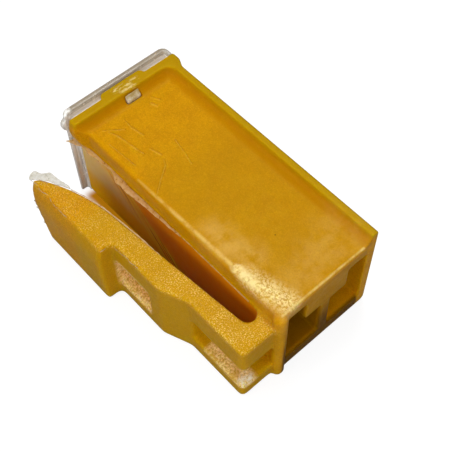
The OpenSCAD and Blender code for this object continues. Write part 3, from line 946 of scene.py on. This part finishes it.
class FUSE_OT_burrs(bpy.types.Operator):
    """Thin burrs and crumbs of flash along the parting line"""

    bl_idname = "fuse.burrs"
    bl_label = "Build burrs"

    def execute(self, context):
        film = bpy.data.materials["thin flash film"]
        tree = burr_tree(film)
        level = PART_LINE_H - 0.06
        # the arm's burr dies away into the arm at its root end
        sunk = {y: np.interp(y, (13.5, 18.0), (0.2, 0.03)) for y in np.linspace(13.5, 28.0, 60)}
        arm = [at(pad_edge(y) - depth, y, level - depth) for y, depth in sunk.items()]
        side = [at(0.0, y, level) for y in np.linspace(4.5, 16.5, 30)]
        skin = bpy.data.objects["moulded_housing"]
        tip = [skin.closest_point_on_mesh(at(-8.0, 31.6, z))[1] for z in np.linspace(2.6, 7.4, 20)]
        for piece in (
            burr_along("arm_burr", arm, tree, Crumb_Share=0.08, Crumb_Size=0.0001, Radius=0.00008, Seed=3),
            burr_along("side_burr", side, tree, Crumb_Share=0.04, Crumb_Size=0.00008, Seed=8),
            burr_along(
                "tip_burr", tip, tree, Crumb_Share=0.4, Crumb_Size=0.00022, Radius=0.00008, Seed=11
            ),
        ):
            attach(piece, "root")
        return {"FINISHED"}


class FUSE_OT_window_cap(bpy.types.Operator):
    """Clear window cap with softened moulded edges"""

    bl_idname = "fuse.window_cap"
    bl_label = "Build window cap"

    def execute(self, context):
        piece = merged_copy("window_cap", "clear_cap")
        remeshed(piece, CAP_VOXEL)
        relax(piece.data, 6)
        finished(piece, CAP_FACES)
        piece.data.materials.append(clear_plastic(context.scene.fuse_cap))
        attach(piece, "root")
        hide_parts("window_cap")
        return {"FINISHED"}


class FUSE_OT_element(bpy.types.Operator):
    """Finish of the stamped fuse element and its tin pellet"""

    bl_idname = "fuse.element"
    bl_label = "Finish fuse element"

    def execute(self, context):
        settings = context.scene.fuse_element
        finishes = {"fuse_element": stamped_alloy(settings), "tin_pellet": dull_tin(settings)}
        for node, material in finishes.items():
            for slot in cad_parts[node].material_slots:
                slot.material = material
        return {"FINISHED"}


class FUSE_OT_studio(bpy.types.Operator):
    """Pale floor, soft light and the camera"""

    bl_idname = "fuse.studio"
    bl_label = "Build studio"

    def execute(self, context):
        settings = context.scene.fuse_studio
        self.floor(settings)
        self.world(context, settings)
        self.soft_box("key soft box", settings.key_power, (0.1, 0.085, 0.3), 0.11)
        self.soft_box("overhead soft box", settings.lamp_power, (-0.03, 0.0, 0.3), 0.25)
        self.soft_box("arm side soft box", settings.fill_power, (-0.28, 0.06, 0.14), 0.2)
        self.soft_box("terminal side soft box", settings.front_power, (-0.12, -0.26, 0.1), 0.2)
        self.camera(context, settings)
        context.scene.view_settings.view_transform = "Standard"
        return {"FINISHED"}

    def floor(self, settings):
        mesh = bpy.data.meshes.new("floor")
        half = 1.5
        corners = [(-half, -half, 0), (half, -half, 0), (half, half, 0), (-half, half, 0)]
        mesh.from_pydata(corners, [], [(0, 1, 2, 3)])
        floor = new_object("floor", mesh)
        s = Shader("pale floor")
        rays = s.add("ShaderNodeLightPath").outputs
        seen = s.most(rays["Is Camera Ray"], rays["Is Transmission Ray"])
        # painted shade with yellow light on the floor in the arm's slot, where yellow light falls through
        # the plastic
        slot_glow_and_shade = s.inside(at(-1.1, 17.0, -1.0), at(3.0, 33.1, 1.0), 0.7)
        material = s.finish(
            Base_Color=s.paint(settings.floor_colour[:], slot_glow_and_shade, (0.2, 0.08, 0.002)),
            Roughness=0.9,
            Specular_IOR_Level=0.0,
            Emission_Color=s.paint((1.0, 1.0, 1.0, 1.0), slot_glow_and_shade, (0.34, 0.14, 0.003)),
            Emission_Strength=s.times(seen, 0.85),
        )
        floor.data.materials.append(material)

    def world(self, context, settings):
        world = bpy.data.worlds.new("soft studio")
        context.scene.world = world
        world.use_nodes = True
        nodes, links = world.node_tree.nodes, world.node_tree.links
        background = nodes["Background"]
        background.inputs["Color"].default_value = (1.0, 1.0, 1.0, 1.0)
        rays = nodes.new("ShaderNodeLightPath")
        level = nodes.new("ShaderNodeMapRange")
        links.new(rays.outputs["Is Camera Ray"], level.inputs["Value"])
        level.inputs["To Min"].default_value = settings.world_level
        level.inputs["To Max"].default_value = 1.0
        links.new(level.outputs[0], background.inputs["Strength"])

    def soft_box(self, name, power, place, size):
        lamp = bpy.data.lights.new(name, "AREA")
        lamp.shape = "SQUARE"
        lamp.size = size
        lamp.energy = power
        box = bpy.data.objects.new(name, lamp)
        bpy.context.scene.collection.objects.link(box)
        box.location = place
        box.rotation_euler = (-Vector(place)).to_track_quat("-Z", "Y").to_euler()

    def camera(self, context, settings):
        a, e, r = settings.azimuth, settings.elevation, settings.roll
        back = Vector((math.sin(a) * math.cos(e), -math.cos(a) * math.cos(e), math.sin(e)))
        level = Vector((math.cos(a), math.sin(a), 0.0))
        upright = back.cross(level)
        right = math.cos(r) * level + math.sin(r) * upright
        up = -math.sin(r) * level + math.cos(r) * upright
        data = bpy.data.cameras.new("camera")
        data.sensor_width = 36.0
        data.lens = settings.lens
        data.clip_start = 0.005
        data.clip_end = 10.0
        camera = bpy.data.objects.new("camera", data)
        bpy.context.scene.collection.objects.link(camera)
        turn = Matrix((right, up, back)).transposed().to_4x4()
        camera.matrix_world = Matrix.Translation(Vector(settings.place)) @ turn
        context.scene.camera = camera


class FUSE_PT_panel(bpy.types.Panel):
    """Sizes, colours and build steps of the fuse link"""

    bl_label = "Fuse Link"
    bl_idname = "FUSE_PT_panel"
    bl_space_type = "VIEW_3D"
    bl_region_type = "UI"
    bl_category = "Fuse Link"

    def draw(self, context):
        for name, operator in STEPS:
            box = self.layout.box()
            box.operator(operator)
            if name:
                group = getattr(context.scene, name)
                for key in group.bl_rna.properties.keys():
                    if key not in ("rna_type", "name"):
                        box.prop(group, key)


STEPS = [
    ("fuse_housing", "fuse.housing"),
    ("", "fuse.burrs"),
    ("fuse_cap", "fuse.window_cap"),
    ("fuse_element", "fuse.element"),
    ("fuse_studio", "fuse.studio"),
]
GROUPS = {
    "fuse_housing": HousingSettings,
    "fuse_cap": CapSettings,
    "fuse_element": ElementSettings,
    "fuse_studio": StudioSettings,
}
CLASSES = [
    *GROUPS.values(),
    FUSE_OT_housing,
    FUSE_OT_burrs,
    FUSE_OT_window_cap,
    FUSE_OT_element,
    FUSE_OT_studio,
    FUSE_PT_panel,
]


def register():
    for item in CLASSES:
        bpy.utils.register_class(item)
    for name, group in GROUPS.items():
        setattr(bpy.types.Scene, name, bpy.props.PointerProperty(type=group))


def unregister():
    for name in GROUPS:
        delattr(bpy.types.Scene, name)
    for item in reversed(CLASSES):
        bpy.utils.unregister_class(item)


def main():
    register()
    bpy.ops.fuse.housing()
    bpy.ops.fuse.burrs()
    bpy.ops.fuse.window_cap()
    bpy.ops.fuse.element()
    bpy.ops.fuse.studio()


if __name__ == "__main__":
    main()
